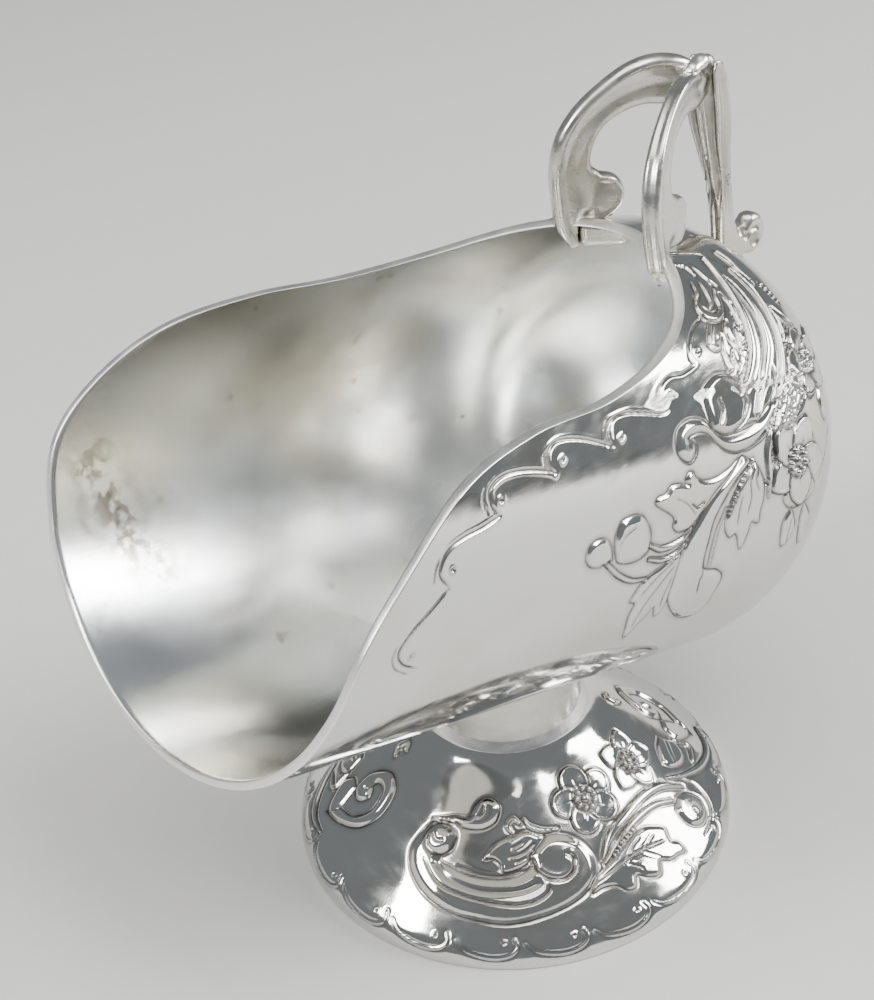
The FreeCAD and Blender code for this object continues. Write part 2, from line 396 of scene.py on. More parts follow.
    def matting(self, points, width, seed, count=400):
        """Small punched pits over the ground along a curve."""
        found, distance = self.measure(points, width)[:2]
        inside = ramp(width, width * 0.7, distance)
        random = np.random.default_rng(seed)
        pits = np.zeros(len(found))
        if len(found) == 0:
            return
        centres = self.point[found[random.integers(0, len(found), count)]]
        for centre in centres:
            gap = np.linalg.norm(self.point[found] - centre, axis=1)
            pits = np.maximum(pits, np.exp(-(gap / 0.32) ** 2))
        self.height[found] -= 0.22 * pits * inside
        self.oxide[found] = np.maximum(self.oxide[found], 0.6 * pits * inside)


def bowl_border(relief):
    """The scalloped line under the rim. A short second line lies beside each scallop's start."""
    scallops = [
        [(101, 53), (99, 56), (96, 57.5), (92, 56), (87, 52), (84, 49.5)],
        [(84, 49.5), (81, 51.5), (78, 51), (76, 49.5), (74.5, 46.5), (73.5, 43), (72, 39.5)],
        [(72, 39.5), (69.5, 41), (66.5, 41), (64.5, 38.5), (64, 34.5), (65, 29), (66, 27)],
        [(66, 27), (64.5, 28), (62, 28), (60, 26.5), (59.5, 24), (60, 20.5), (61.5, 16.5), (63, 13.5)],
        [(63, 13), (61.5, 13.5), (59.5, 13.5), (57.5, 12.5), (56.5, 9.5), (57, 5), (58, 0.5), (58, -1)],
        [(58, -1), (57, -0.5), (55, 0), (53, -0.5), (51, -2.5), (50, -5), (50, -7.5), (48.5, -11.5)],
        [(48.5, -11.5), (47, -11), (44.5, -11.5), (41.5, -13.5), (39, -16), (37.5, -18.5)],
    ]
    relief.lines(scallops, 0.22, 0.24)
    second_lines = [
        [(102, 54.5), (99.5, 57.5), (96.5, 58.6), (94, 58.2)],
        [(82.5, 52.6), (79.5, 52.4), (77.5, 51.6)],
        [(71, 41.8), (68.5, 42.6), (66.2, 42.2)],
        [(65, 28.8), (63.5, 29.2), (61.2, 28.8)],
        [(62.5, 14.4), (60.5, 14.7), (58.2, 14.2)],
        [(57, 0.4), (55, 0.9), (53, 0.4)],
    ]
    relief.lines(second_lines, 0.16, 0.14, 0.8)
    for spot in ((97.5, 54.8), (80.5, 49), (69, 39), (63.5, 25), (61.5, 11), (54.5, -2.5), (45.5, -13.5)):
        relief.punch(spot)


def bowl_fan(relief):
    """Long ribs that sweep from the scroll up towards the handle, and the small work beside them."""
    relief.matting([(56, -39), (60, -35), (66, -31.5), (71, -29)], 3.6, seed=3)
    relief.matting([(36, -28.5), (42, -28), (48, -26), (52, -23.5)], 1.6, seed=4, count=90)
    ribs = [
        ([
            (65, -27), (61.5, -29.5), (57.5, -32), (49.5, -35.5), (41, -37), (31.5, -37), (24, -35.5),
        ], (0.4, 0.6, 0.65, 0.5, 0.3)),
        ([
            (62, -24.5), (58.5, -26), (54, -28.5), (46.5, -32.5), (38.5, -33.8), (30.5, -33), (26, -32),
        ], (0.5, 0.8, 0.9, 0.7, 0.3)),
        ([
            (57.5, -21), (52, -25.5), (47.5, -28), (40, -30), (31.5, -30.8), (25.5, -31), (19.5, -31.5),
        ], (0.6, 1.0, 1.0, 0.8, 0.4)),
        ([(17.5, -36.5), (21.5, -37.5), (26, -37.5), (30, -38.5)], (0.3, 0.6, 0.3)),
        ([(37, -38), (42, -38.5), (46, -38), (50, -39)], (0.3, 0.6, 0.3)),
        ([(36.5, -39), (39.5, -41), (42, -43.5)], (0.3, 0.5, 0.3)),
        ([(49.5, -36.5), (52.5, -36), (56, -36), (57.5, -38)], (0.3, 0.6, 0.4)),
        ([(43, -44), (46.5, -43), (49, -42)], (0.3, 0.5, 0.3)),
    ]
    for points, width in ribs:
        relief.stroke(points, width, 0.6, ink=0.85)
    relief.line([(51, -31.5), (54.5, -31.8), (59, -29.5), (62, -27), (63.5, -24.5), (63.5, -21.5)])
    relief.form([
        (28.5, -27.5), (32, -27), (35.5, -26), (38, -24.5), (39, -22), (38, -19.5), (35.5, -18.7),
        (33, -19.5), (31.5, -20.5), (35, -20.8), (36.5, -22.5), (35.5, -24.5), (32, -25.5),
    ], 0.4, 0.5)
    small = [
        ([(27.5, -22.5), (30, -22), (31.8, -21)], 0.4),
        ([(28, -24.6), (31, -24.3), (34, -23.6), (35, -22.5)], 0.5),
        ([(39, -20.5), (41, -19), (44.5, -17.7), (45.5, -19), (43.5, -20)], 0.35),
        ([(39, -24.5), (41, -23.5), (44, -23.5), (46.5, -24.5)], 0.4),
        ([(31.5, -27.8), (35, -28.2), (39, -28), (42, -27.6)], 0.35),
        ([(41, -26.2), (44, -25.6), (47.5, -24.6)], 0.45),
        ([(43, -21.5), (46, -20.5), (48.5, -20.5), (51, -20.8), (51.5, -19.5)], 0.4),
        ([(47, -22.5), (49, -22.2), (51, -22.6)], 0.4),
        ([(20.5, -22.5), (22, -24.5), (25, -25)], 0.4),
        ([(22, -26.5), (26.5, -27.2), (29, -28.5)], 0.4),
    ]
    for points, width in small:
        relief.stroke(points, (0.5 * width, width, width, 0.5 * width), 0.35)
    relief.line([(16.5, -24), (17, -27.5), (18, -32), (21, -34)])
    relief.beads([(29.5, -41.5), (32, -42.5), (34.5, -43.5)], 5, 0.5)


def bowl_scrolls(relief):
    """The oval scroll, and the curl that runs into a large crescent under the ribs."""
    relief.form([
        (62.5, -11), (61, -9), (60.5, -6), (62, -3), (64, -2), (67, -2), (69, -3.5), (69.5, -5),
        (68, -6.5), (66, -6.5), (64.5, -5), (63.5, -7.5), (64, -10), (66, -12), (68.5, -14.5),
        (69.5, -17.5), (69, -21.5), (67, -25.5), (63.5, -28.5), (59.5, -31.5), (60.5, -28), (64, -24),
        (65.5, -19), (65.5, -14),
    ], 0.5, 1.3, ink=1.0)
    relief.form([
        (63.5, -12), (60, -11), (55, -11), (53, -13), (51.5, -16), (52, -19), (54, -21), (57, -22.5),
        (60, -22.5), (62.5, -21), (64.5, -18), (65, -15),
    ], 0.55, 1.0)
    relief.line([(52.8, -17), (53.8, -19), (56, -20.7), (59, -21.2), (62, -20)], 0.3, 0.3)
    relief.line([(62.5, -13.6), (60, -14.6), (57, -13.8)], 0.26, 0.2, 0.7)


def bowl_spray(relief):
    """The long stem that ends in a broad curled leaf, with a serrated leaf, thin leaves and a trefoil."""
    relief.stroke([
        (95, 3.5), (94.5, 7), (92, 11), (88.5, 14.5), (86.5, 16.5),
    ], (0.25, 0.4, 0.4, 0.3), 0.25, ink=1.0)
    relief.form([
        (87.5, 13.5), (85, 14), (82.5, 15.5), (82, 17.5), (83, 19.5), (85.5, 20), (87.5, 19),
        (88.5, 16.5),
    ], 0.4, 1.0)
    relief.form([
        (86, 13), (83, 13.5), (79.5, 12.5), (78.5, 10), (79, 7.5), (81.5, 5.5), (84.5, 4.5),
        (87.5, 4.5), (89, 6), (89.5, 9), (88.5, 12),
    ], 0.5, 1.4)
    relief.line([(84.5, 12.6), (82.3, 11.4), (80.8, 8.8)], 0.2, 0.12, 0.4)
    relief.form([
        (90.5, -4.5), (92.5, -0.5), (95, 3.5), (98, 5), (100.5, 5.5), (101.5, 4), (105, 4), (109, 3),
        (113, 1.5), (109.5, 0.5), (106.5, -1), (104.5, -2), (108, -4), (105.5, -5), (101, -5), (95, -5),
    ], 0.3, 0.8)
    veins = [
        [(93, -3.5), (97, -1), (103, 1.5), (109.5, 2)],
        [(96, -3.5), (101, -3), (105, -3.6)],
        [(92, -3), (95, 0.5), (99, 3.5)],
    ]
    relief.lines(veins, 0.2, 0.15, 0.8)
    relief.stroke([
        (86.5, 4.5), (88.2, 1), (87.3, -3.5), (85, -6),
    ], (0.3, 0.55, 0.5, 0.3), 0.35, ink=1.0)
    relief.stroke([(90, 4), (91, 0.5), (90.5, -2.5), (88.5, -5)], (0.3, 0.5, 0.45, 0.3), 0.35, ink=1.0)
    relief.form([
        (71, -19), (71.5, -17.5), (73, -15.5), (74.5, -11.5), (74.5, -8.5), (73.5, -6.5), (72, -5.5),
        (72, -4.5), (73.5, -3.5), (74.5, -4), (74, -2), (74, 0), (75.5, 1.5), (76, 3.5), (77, 4),
        (78.5, 2.5), (79.5, 1), (81.5, -1), (83.5, -1), (85, -2.5), (85, -5), (82, -8), (78.5, -11.5),
        (75, -15.5),
    ], 0.35, 0.8)
    relief.line([(79, -5), (80, -6.5), (79, -8.5)])
    relief.line([(77, -1), (79, -4), (82, -6.5)], 0.2, 0.12, 0.6)
    relief.form([
        (71, -19), (75, -14.5), (78.5, -10.5), (83.5, -7.5), (87.5, -5.5), (92, -4.5), (99, -4.5),
        (103.5, -5.5), (108, -8.5), (112, -13), (112.5, -16.5), (110, -18.5), (105.5, -19), (101, -19),
        (98.5, -16.5), (97, -12.5), (93.5, -11.5), (89, -11.5), (84.5, -12), (80.5, -14), (76.5, -17),
        (72.5, -21),
    ], 0.45, 1.1, ink=1.0)
    relief.line([(97, -12.5), (99.5, -12), (103.5, -12.8)], 0.24, 0.2)
    relief.stroke([(82.5, -15), (87, -13.5), (92, -13.3), (97, -13.8)], (0.25, 0.35, 0.3), 0.2)


def bowl_flowers(relief):
    """Two flowers with their buds and leaves, on the shoulder of the bowl."""
    relief.form([
        (73, -22.5), (78, -17.8), (83.5, -15.5), (87, -15.5), (90, -17.5), (89.5, -19), (94, -21.5),
        (90.5, -22.5), (87.5, -23), (88, -25), (85, -25), (82, -25.5), (77, -24.8),
    ], 0.35, 0.8)
    veins = [
        [(74, -21.8), (77, -21), (81, -21.5), (85, -21)],
        [(74, -23.3), (77, -22.6), (80, -23.6)],
        [(80, -19), (84, -18.5), (87, -18.5)],
    ]
    relief.lines(veins, 0.2, 0.18, 0.8)
    relief.beads([(72.5, -21.8), (76.5, -19), (80.5, -17), (83.5, -15.9)], 10, 0.42)
    relief.stroke([(66, -27.5), (71.5, -26.3), (76.5, -26.8), (82, -27)], (0.3, 0.8, 0.8, 0.3), 0.4)
    relief.stroke([(62, -31), (68, -29), (74, -28.6)], (0.3, 0.6, 0.3), 0.4)
    relief.punch((78.7, -25.8), 0.7)
    leaves = [
        [(80.5, -31.5), (84.5, -32), (86.5, -34.5), (86, -38.5), (83, -41.5), (78, -38)],
        [(86.5, -34.5), (90, -33), (97, -35), (92, -37)],
        [(86, -38.5), (91, -38.5), (98, -41), (91, -42)],
        [(47, -36.5), (44, -39), (45, -42), (48, -40)],
        [(58, -45), (62, -44.5), (67, -46.5), (62, -48.5)],
        [(45, -47), (41, -50), (40, -56), (45, -52)],
    ]
    for outline in leaves:
        relief.form(outline, 0.35, 0.7)
    relief.line([(89, -35), (93, -35.2), (96, -35.5)], 0.2, 0.15, 0.7)
    relief.line([(81, -43.5), (75.5, -46), (68.5, -48.5)])
    relief.flower((75, -35), 7.6, 5, 60, point=0.25)
    relief.flower((51.5, -43), 6.4, 5, 20, point=0.2)


def bowl_relief(angle, along):
    relief = Relief(BOWL, angle, along)
    bowl_fan(relief)
    bowl_flowers(relief)
    bowl_scrolls(relief)
    bowl_spray(relief)
    bowl_border(relief)
    return relief


def foot_border(relief):
    """Scallops round the foot's edge, each hooked at one end, with a punched ring inside."""
    scallop = [(1.2, 5.4), (3.5, 3.9), (8, 2.9), (12.5, 2.7), (16, 3.5), (17.4, 4.8), (16.8, 6.3)]
    for k in range(FOOT_SCALLOPS):
        start = 360.0 / FOOT_SCALLOPS * k + 12
        arc = [(start + angle, along) for angle, along in scallop]
        relief.stroke(arc, (0.15, 0.26, 0.3, 0.3, 0.26), (0.06, 0.12, 0.16, 0.18, 0.16), ink=0.45)
        relief.punch((start + 14, 5.4), 0.45)


def foot_scroll(relief):
    """The large scroll: a curled bar on top, a coil, a hollow band, and a volute at its end."""
    relief.form([
        (13, 25.5), (11, 23.5), (9, 19.5), (11, 16.5), (15, 14), (20, 12), (29, 10), (36, 9.5), (45, 9),
        (56, 10), (63, 11), (69, 12.5), (74, 15), (75.5, 18), (74, 21), (70, 23.3), (64, 24.5),
        (58, 24), (54, 22), (53.5, 19.5), (50, 18), (44, 17.2), (35, 17.2), (27, 18.2), (21, 19.5),
        (25, 22), (25, 24.5), (21, 26),
    ], 0.75, 2.0, ink=1.0)
    relief.line([
        (18, 19.5), (24, 16.8), (32, 15.4), (41, 14.9), (50, 15.2), (57, 16.6),
    ], 0.7, 0.45, 0.35, 0.0)
    relief.line([
        (16, 18.5), (23, 15), (32, 13.6), (41, 12.8), (49, 12.4), (55, 13.2), (58, 14.6), (58, 16),
    ], 0.26, 0.25, 0.95)
    relief.line([(28, 18.9), (36, 18), (44, 17.9), (51, 18.8)], 0.24, 0.2, 0.9)
    relief.line([
        (54, 20.5), (55.5, 18.2), (59, 16.5), (63.5, 16), (67, 17.2), (68, 19.2), (66.5, 20.3),
    ], 0.34, 0.5, 1.0)
    relief.form([
        (21, 25.8), (24.5, 24.5), (24, 22), (21, 20.3), (17, 20), (14, 21), (13, 23), (15.5, 25.3),
    ], 0.85, 1.4)
    relief.line([(16, 23.6), (18, 22.6), (21, 22.8)], 0.3, 0.25, 0.6)
    relief.form([
        (12.5, 26.2), (22, 28), (29, 28.6), (30, 30.5), (33, 32), (38, 32.4), (42, 30.8), (41, 28.5),
        (36, 26.7), (28, 26.2), (21, 26.6),
    ], 0.75, 1.1, ink=1.0)
    relief.line([(32.5, 28.6), (34.5, 29.6), (34.5, 31)], 0.26, 0.25, 0.9)


def foot_leaves(relief):
    """Buds and leaves on both sides of the volute, and the ribbed sweep that ends in a bulb."""
    relief.form([
        (60, 24.5), (53, 26), (47, 25.2), (43, 24.5), (39, 23), (37, 21), (40, 21.2), (43, 20),
        (43.5, 18.8), (48, 19), (52, 20), (55, 22),
    ], 0.35, 0.8)
    veins = [
        [(46, 21.3), (51, 22), (56, 23.6)],
        [(48, 20.3), (52, 21), (55, 22)],
        [(47, 23), (51, 24)],
    ]
    relief.lines(veins, 0.2, 0.18, 0.8)
    relief.stroke([(48, 25.8), (46, 27.2), (48, 28.4), (51, 27.6)], (0.3, 0.6, 0.6, 0.3), 0.45)
    relief.stroke([(53, 28.2), (55, 26.8), (60, 25.7), (66, 25.2)], (0.3, 0.6, 0.4, 0.2), 0.45)
    relief.stroke([
        (77, 16.5), (83, 19.6), (94, 21.3), (106, 21.2), (116, 18.9), (122, 14.5),
    ], (0.3, 0.9, 1.0, 1.0, 0.8, 0.4), 0.6, ink=1.0)
    relief.stroke([
        (78, 16), (86, 18.4), (97, 19.4), (107, 18.3), (114, 15.4),
    ], (0.3, 0.6, 0.7, 0.6, 0.4), 0.5, ink=0.9)
    relief.form([
        (116, 15), (111.5, 13.5), (111, 10.5), (114, 8), (119, 7.8), (122.5, 10), (121, 13.3),
    ], 0.6, 1.1, ink=1.0)
    relief.punch((116, 10.5), 0.6)
    relief.line([(124.5, 15), (126.5, 12), (124.5, 8.5), (120, 6.6), (112, 6.3)], 0.24, 0.2, 0.9)
    relief.form([
        (76, 14.8), (86, 17), (95, 17.6), (99, 16.5), (103, 14), (101.5, 11.8), (103.5, 10), (103, 8),
        (100, 8.5), (97, 9), (94, 10.3), (91.5, 8.6), (88, 9.5), (85, 11), (83, 9.3), (80.5, 9.5),
        (78, 11.3), (74, 12), (70, 11.8), (72, 13.6),
    ], 0.35, 0.9)
    relief.line([(72, 13.4), (81, 14.4), (91, 14.3), (100, 12.6)], 0.28, 0.22, 0.8)
    veins = [
        [(84, 14.3), (89, 16), (93, 16.4)],
        [(84, 14), (88, 11.5)],
        [(91, 14), (95, 11)],
        [(92, 14.2), (98, 15)],
    ]
    relief.lines(veins, 0.2, 0.12, 0.6)
    relief.beads([(82, 16.4), (87, 17.6), (93, 18.2)], 8, 0.42)


def foot_small_scrolls(relief):
    """The small scrolls that close the spray at both ends."""
    relief.form([
        (-30, 10), (-22, 12), (-13, 16), (-9.5, 21), (-11, 25.5), (-18, 27.5), (-25, 26), (-29.5, 22.5),
        (-28.5, 18.8), (-23, 18), (-20, 20.5), (-23, 22.5), (-24, 21), (-22, 23.8), (-16.5, 23.8),
        (-14.5, 20), (-19, 15.5), (-27, 13),
    ], 0.6, 1.0, ink=1.0)
    relief.stroke([(-27, 29.7), (-30, 31.5), (-28, 33.5), (-24, 32.5)], (0.3, 0.7, 0.7, 0.3), 0.5)
    relief.form([(151, 18.5), (146, 18.5), (143.5, 16), (146, 13), (151, 10.5), (153, 13.5)], 0.4, 0.9)
    relief.form([(139, 21), (132, 21.5), (126, 19.5), (129, 16.5), (136, 14.5), (141, 17)], 0.4, 0.9)
    relief.line([(138, 19.5), (133, 18.5), (130, 17.5)], 0.2, 0.15, 0.7)
    relief.stroke([
        (155, 7), (147, 6.6), (138, 9.2), (129, 13.6), (121, 18.2),
    ], (0.3, 0.7, 0.8, 0.5, 0.3), 0.45, ink=1.0)
    relief.stroke([(141.5, 17), (143, 12.8), (136, 12.2)], (0.3, 0.6, 0.3), 0.4)


def foot_group(relief, turn):
    """One spray of the foot's ornament, turned round the foot's axis."""
    relief.turn = turn
    foot_scroll(relief)
    foot_leaves(relief)
    foot_small_scrolls(relief)
    relief.flower((115, 27.5), 6.2, 5, 49, point=0.25)
    relief.flower((83, 28.5), 7.0, 5, 23)
    relief.turn = 0.0


def foot_relief(angle, along):
    relief = Relief(FOOT, angle, along)
    foot_group(relief, 0.0)
    foot_group(relief, 180.0)
    foot_border(relief)
    return relief


# ---------------------------------------------------------------- meshes

def make_object(name, points, faces, materials, face_materials=None, values=None):
    """A smooth-shaded mesh object from millimetre points and faces of four corners."""
    mesh = bpy.data.meshes.new(name)
    mesh.vertices.add(len(points))
    mesh.vertices.foreach_set("co", (points * MM).astype(np.float32).ravel())
    mesh.loops.add(faces.size)
    mesh.loops.foreach_set("vertex_index", faces.astype(np.int32).ravel())
    mesh.polygons.add(len(faces))
    mesh.polygons.foreach_set("loop_start", np.arange(0, faces.size, 4, dtype=np.int32))
    mesh.update(calc_edges=True)
    mesh.shade_smooth()
    for material in materials:
        mesh.materials.append(material)
    if face_materials is not None:
        mesh.polygons.foreach_set("material_index", face_materials.astype(np.int32))
    for key, data in (values or {}).items():
        mesh.attributes.new(key, "FLOAT", "POINT").data.foreach_set("value", data.astype(np.float32))
    made = bpy.data.objects.new(name, mesh)
    bpy.context.scene.collection.objects.link(made)
    return made


def outward(points, faces):
    """Faces turned so that their normals point out of the closed mesh."""
    a, b, c, d = (points[faces[:, k]] for k in range(4))
    volume = (np.cross(c - a, d - b) * (a + b + c + d)).sum()
    return faces if volume > 0 else faces[:, ::-1]


def ring_faces(rows, columns, closed=False):
    """Faces of a grid that is closed round its columns, and round its rows too if asked."""
    row = np.arange(rows if closed else rows - 1)[:, None]
    column = np.arange(columns)[None, :]
    after_row = (row + 1) % rows
    after_column = (column + 1) % columns
    corners = [row * columns + column, row * columns + after_column]
    corners += [after_row * columns + after_column, after_row * columns + column]
    return np.stack([np.broadcast_to(c, (len(row), columns)) for c in corners], -1).reshape(-1, 4)


def cap_faces(first, columns, centre, flip):
    """Faces that close a ring of an even number of points with one point in its middle."""
    start = np.arange(0, columns, 2)
    middle = np.full_like(start, centre)
    faces = np.stack([first + start, first + start + 1, first + (start + 2) % columns, middle], 1)
    return faces[:, ::-1] if flip else faces


def edge_reach(height):
    """Where the side edge cuts the sheet, at a height over the bowl's axis."""
    line = curve_through(SIDE_EDGE, 40)
    return np.interp(height, line[:, 1], line[:, 0])


def even_share(density, count):
    """Places from 0 to 1 spaced by a density given on an even grid."""
    total = np.concatenate([[0], np.cumsum((density[1:] + density[:-1]) / 2)])
    return np.interp(np.linspace(0, 1, count), total / total[-1], np.linspace(0, 1, len(density)))


STAIN = np.array([(-40.5, -57.5, 95.0), (-38.0, -55.5, 86.5), (-35.0, -56.0, 81.0), (-31.5, -53.0, 75.5)])


def stain(points):
    """How strong the dark stain inside the left edge is at each point."""
    gap = along_curve(points.reshape(-1, 3), STAIN)[0]
    return (0.95 * np.exp(-(gap / 4.2) ** 2)).reshape(points.shape[:2])


def build_bowl(outer_material, inner_material, edge_material):
    half = BOWL_COLUMNS // 2 + 1
    grid = np.linspace(0, 180, 721)
    density = 0.35 + 0.65 * ramp(6, 14, grid) * ramp(126, 116, grid)
    angle_half = even_share(density, half) * 180
    grid = np.linspace(0, 1, 401)
    density = 0.3 + 0.7 * ramp(0.85, 0.7, grid)
    share = even_share(density, BOWL_ROWS) * SHORT_OF_TIP
    edge = edge_reach(BARREL_RADIUS * np.cos(np.radians(angle_half))) - EDGE_SETBACK
    along = edge[None, :] + (BOWL_TIP - edge[None, :]) * share[:, None]
    angle = np.broadcast_to(angle_half[None, :], along.shape)
    relief = bowl_relief(angle, along)
    outer = (relief.point + relief.normal * relief.height[:, None]).reshape(*along.shape, 3)
    oxide = relief.oxide.reshape(along.shape)

    rim = []
    for depth, back in ((0.12, 0.04), (0.45, 0.0), (1.05, 0.0), (1.38, 0.04)):
        reach = edge_reach((BARREL_RADIUS - depth) * np.cos(np.radians(angle_half))) - back
        rim.append(BOWL.at(angle_half, reach, depth)[0])
    inner_share = even_share(0.4 + 0.6 * ramp(0.5, 0.0, np.linspace(0, 1, 101)), 90) * SHORT_OF_TIP
    inner_edge = edge_reach((BARREL_RADIUS - BOWL_SHEET) * np.cos(np.radians(angle_half))) - EDGE_SETBACK
    inner_along = inner_edge[None, :] + (BOWL_TIP - inner_edge[None, :]) * inner_share[:, None]
    inner_angle = np.broadcast_to(angle_half[None, :], inner_along.shape)
    inner = BOWL.at(inner_angle, inner_along, BOWL_SHEET)[0]

    rows = np.concatenate([outer[::-1], np.stack(rim), inner])
    inks = np.concatenate([oxide[::-1], np.zeros((len(rim) + len(inner), half))])
    mirrored = rows[:, -2:0:-1] * np.array([-1, 1, 1])
    points = np.concatenate([rows, mirrored], axis=1)
    inks = np.concatenate([inks, inks[:, -2:0:-1]], axis=1)
    first_inner = len(outer) + len(rim)
    inks[first_inner:] = stain(points[first_inner:])
    count, columns = points.shape[:2]
    faces = ring_faces(count, columns)
    kinds = np.zeros((count - 1, columns), int)
    kinds[len(outer) - 1:] = 2
    kinds[first_inner:] = 1
    flat = points.reshape(-1, 3)
    poles = np.stack([points[0].mean(0), points[-1].mean(0)])
    flat = np.vstack([flat, poles])
    faces = np.vstack([
        faces,
        cap_faces(0, columns, len(flat) - 2, True),
        cap_faces((count - 1) * columns, columns, len(flat) - 1, False),
    ])
    kinds = np.concatenate([kinds.ravel(), np.zeros(columns // 2, int), np.ones(columns // 2, int)])
    inks = np.concatenate([inks.ravel(), [0, 0]])
    materials = [outer_material, inner_material, edge_material]
    return make_object("bowl", flat, outward(flat, faces), materials, kinds, {"oxide": inks})


def build_foot(outer_material, inner_material):
    angle = np.linspace(0, 360, FOOT_COLUMNS, endpoint=False)
    along = np.linspace(FOOT_START, FOOT_ARC[-1], FOOT_ROWS)
    angle, along = np.meshgrid(angle, along)
    relief = foot_relief(angle, along)
    fade = ramp(FOOT_ARC[-1] + 0.5, FOOT_ARC[-1] - 2.5, along.ravel())
    outer = (relief.point + relief.normal * (relief.height * fade)[:, None]).reshape(*along.shape, 3)
    inner_angle, inner_along = np.meshgrid(angle[0], np.linspace(FOOT_ARC[-1], FOOT_START, 40))
    inner = FOOT.at(inner_angle, inner_along, FOOT_SHEET)[0]
    bottom = []
    for share in (0.12, 0.5, 0.88):
        bottom.append(FOOT.at(angle[0], np.zeros(FOOT_COLUMNS), FOOT_SHEET * (1 - share))[0])
    rows = np.concatenate([outer, inner, np.stack(bottom)])
    inks = np.zeros(rows.shape[:2])
    inks[:len(outer)] = relief.oxide.reshape(along.shape)
    faces = ring_faces(*rows.shape[:2], closed=True)
    kinds = np.zeros(rows.shape[:2], int)
    kinds[len(outer) - 1:len(outer) + len(inner)] = 1
    flat = rows.reshape(-1, 3)
    materials = [outer_material, inner_material]
    values = {"oxide": inks.ravel()}
    return make_object("foot", flat, outward(flat, faces), materials, kinds.ravel(), values)


def field_mesh(field, low, high, step, values=None):
    """Meshes the surface where a field of space changes sign (negative inside), by surface nets."""
    axes = [np.arange(a, b + step, step) for a, b in zip(low, high)]
    grid = np.meshgrid(*axes, indexing="ij")
    level = field(*grid)
    inside = level < 0
    sizes = [len(a) - 1 for a in axes]
    corners = [(i, j, k) for i in (0, 1) for j in (0, 1) for k in (0, 1)]

    def window(data, corner):
        return data[tuple(slice(c, c + n) for c, n in zip(corner, sizes))]

    filled = sum(window(inside, c).astype(np.int8) for c in corners)
    active = (filled > 0) & (filled < 8)
    cells = np.argwhere(active)
    number = np.full(active.shape, -1)
    number[active] = np.arange(len(cells))
    total = np.zeros((len(cells), 3))
    crossings = np.zeros(len(cells))
    for a in corners:
        for b in corners:
            if sum(b) - sum(a) != 1 or any(q < p for p, q in zip(a, b)):
                continue
            start = window(level, a)[active]
            end = window(level, b)[active]
            cut = (start < 0) != (end < 0)
            t = np.where(cut, start / np.where(cut, start - end, 1), 0)
            place = np.array(a) + t[:, None] * (np.array(b) - np.array(a))
            total += np.where(cut[:, None], place, 0)
            crossings += cut
    points = np.array([a[0] for a in axes]) + (cells + total / crossings[:, None]) * step
    h = step * 0.2
    for _ in range(3):
        x, y, z = points.T
        here = field(x, y, z)
        slope = np.stack([
            field(x + h, y, z) - field(x - h, y, z),
            field(x, y + h, z) - field(x, y - h, z),
            field(x, y, z + h) - field(x, y, z - h),
        ], 1) / (2 * h)
        size = np.maximum((slope ** 2).sum(1), 0.05)
        move = np.clip(here / size, -0.3 * step, 0.3 * step)
        points = points - move[:, None] * slope
    faces = []
    for axis in range(3):
        others = [k for k in range(3) if k != axis]
        first = [slice(1, n) for n in sizes]
        first[axis] = slice(0, sizes[axis])
        second = list(first)
        second[axis] = slice(1, sizes[axis] + 1)
        a = inside[tuple(first)]
        b = inside[tuple(second)]
        base = np.array([1, 1, 1])
        base[axis] = 0
        for change, flip in ((a & ~b, False), (~a & b, True)):
            at = np.argwhere(change) + base
            ring = []
            for p, q in ((0, 0), (1, 0), (1, 1), (0, 1)):
                cell = at.copy()
                cell[:, others[0]] -= p
                cell[:, others[1]] -= q
                ring.append(number[tuple(cell.T)])
            quad = np.stack(ring, 1)
            faces.append(quad[:, ::-1] if flip != (axis == 1) else quad)
    faces = outward(points, np.vstack(faces))
    data = {key: value(*points.T) for key, value in (values or {}).items()}
    return points, faces, data


def closed_distance(x, y, line):
    """Signed distance in the plane to a closed polyline, negative inside."""
    gap = open_distance(x, y, np.vstack([line, line[:1]]))
    return np.where(within(x, y, line), -gap, gap)


def open_distance(x, y, line):
    """Distance in the plane to an open polyline."""
    best = np.full(x.shape, 1e9)
    for (ax, ay), (bx, by) in zip(line, line[1:]):
        dx, dy = bx - ax, by - ay
        t = np.clip(((x - ax) * dx + (y - ay) * dy) / (dx * dx + dy * dy + 1e-12), 0, 1)
        best = np.minimum(best, (x - ax - t * dx) ** 2 + (y - ay - t * dy) ** 2)
    return np.sqrt(best)


def plane_table(function, low, high, step):
    """A function of the plane sampled once, and read back by interpolation."""
    xs = np.arange(low[0], high[0] + step, step)
    ys = np.arange(low[1], high[1] + step, step)
    table = function(*np.meshgrid(xs, ys, indexing="ij"))

    def read(x, y):
        u = np.clip((x - low[0]) / step, 0, len(xs) - 1.001)
        v = np.clip((y - low[1]) / step, 0, len(ys) - 1.001)
        i, j = u.astype(int), v.astype(int)
        fu, fv = u - i, v - j
        near = table[i, j] * (1 - fv) + table[i, j + 1] * fv
        far = table[i + 1, j] * (1 - fv) + table[i + 1, j + 1] * fv
        return near * (1 - fu) + far * fu

    return read


def rounded(flat, thick, edge):
    """Distance to a plate: flat is the distance in its plane, thick the distance past its face."""
    a, b = flat + edge, thick + edge
    return np.minimum(np.maximum(a, b), 0) + np.hypot(np.maximum(a, 0), np.maximum(b, 0)) - edge


